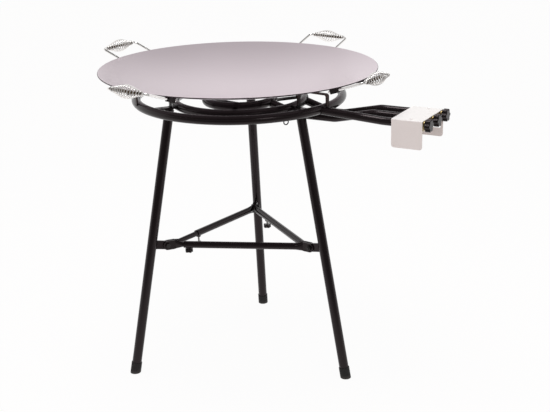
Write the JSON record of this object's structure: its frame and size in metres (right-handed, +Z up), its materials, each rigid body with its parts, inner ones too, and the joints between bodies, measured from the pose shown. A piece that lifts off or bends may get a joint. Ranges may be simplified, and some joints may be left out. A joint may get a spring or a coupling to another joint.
{
  "type": "gas griddle",
  "caption": "Round dished steel griddle with spring-grip handles over a multi-ring gas burner, on a black tripod stand with telescopic braces and shielded gas taps.",
  "frame": {"origin": "on the floor, under the common axis of the burner rings", "axes": "+X along the feed pipes towards the tap knobs, +Y level, +Z up"},
  "size_m": [1.0784, 0.9428, 0.9098],
  "materials": {
    "griddle_steel": "satin, rolled sheet",
    "polished_steel": "polished",
    "black_paint": "semi-gloss enamel",
    "black_steel": "blackened",
    "black_rubber": "matt",
    "black_plastic": "gloss",
    "brass": "turned",
    "plated_steel": "zinc plated",
    "white_enamel": "gloss powder coat"
  },
  "bodies": {
    "stand": {"outer_ring": "black_paint", "middle_ring": "black_paint", "inner_ring": "black_paint", "outer_feed_pipe": "black_paint", "middle_feed_pipe": "black_paint", "inner_feed_pipe": "black_paint", "ring_spoke_1": "black_paint", "ring_spoke_2": "black_paint", "ring_spoke_3": "black_paint", "ring_ties": "black_paint", "pan_support_1": "black_paint", "pan_support_2": "black_paint", "pan_support_3": "black_paint", "leg_spigots": "black_paint", "leg_1": "black_paint", "leg_2": "black_paint", "leg_3": "black_paint", "brace_lugs": "black_paint", "brace_tube_1": "black_paint", "brace_tube_2": "black_paint", "brace_tube_3": "black_paint", "brace_rod_1": "black_paint", "brace_rod_2": "black_paint", "brace_rod_3": "black_paint", "lock_collars": "black_paint", "ring_eye": "black_paint", "brace_bolts": "black_steel", "brace_nuts": "black_steel", "foot_cap_1": "black_rubber", "foot_cap_2": "black_rubber", "foot_cap_3": "black_rubber", "tap_bodies": "brass", "injectors": "brass", "manifold_rail": "brass", "gas_inlet": "brass", "heat_shield": "white_enamel", "shield_screws": "white_enamel"},
    "griddle": {"griddle_pan": "griddle_steel", "handle_brackets": "black_paint", "handle_rod_1": "polished_steel", "handle_rod_2": "polished_steel", "handle_rod_3": "polished_steel", "handle_rod_4": "polished_steel", "handle_coil_1": "polished_steel", "handle_coil_2": "polished_steel", "handle_coil_3": "polished_steel", "handle_coil_4": "polished_steel"},
    "tap_1": {"tap_spindle_1": "plated_steel", "tap_knob_1": "black_plastic"},
    "tap_2": {"tap_spindle_2": "plated_steel", "tap_knob_2": "black_plastic"},
    "tap_3": {"tap_spindle_3": "plated_steel", "tap_knob_3": "black_plastic"},
    "lock_1": {"lock_stud_1": "plated_steel", "lock_knob_1": "black_plastic"},
    "lock_2": {"lock_stud_2": "plated_steel", "lock_knob_2": "black_plastic"},
    "lock_3": {"lock_stud_3": "plated_steel", "lock_knob_3": "black_plastic"}
  },
  "joints": [
    {"name": "griddle_lift", "type": "slide", "parent": "stand", "child": "griddle", "axis": [0, 0, 1], "range_m": [0, 0.15]},
    {"name": "tap_1_turn", "type": "hinge", "parent": "stand", "child": "tap_1", "pos_m": [0.5905, -0.063, 0.779], "axis": [1, 0, 0], "range_deg": [0, 180]},
    {"name": "tap_2_turn", "type": "hinge", "parent": "stand", "child": "tap_2", "pos_m": [0.5905, 0, 0.779], "axis": [1, 0, 0], "range_deg": [0, 180]},
    {"name": "tap_3_turn", "type": "hinge", "parent": "stand", "child": "tap_3", "pos_m": [0.5905, 0.063, 0.779], "axis": [1, 0, 0], "range_deg": [0, 180]},
    {"name": "lock_1_turn", "type": "hinge", "parent": "stand", "child": "lock_1", "pos_m": [-0.09409, -0.15765, 0.3702], "axis": [0, 0, -1], "range_deg": [0, 720]},
    {"name": "lock_2_turn", "type": "hinge", "parent": "stand", "child": "lock_2", "pos_m": [-0.00319, 0.1459, 0.3702], "axis": [0, 0, -1], "range_deg": [0, 720]},
    {"name": "lock_3_turn", "type": "hinge", "parent": "stand", "child": "lock_3", "pos_m": [-0.12239, -0.05989, 0.3702], "axis": [0, 0, -1], "range_deg": [0, 720]}
  ]
}
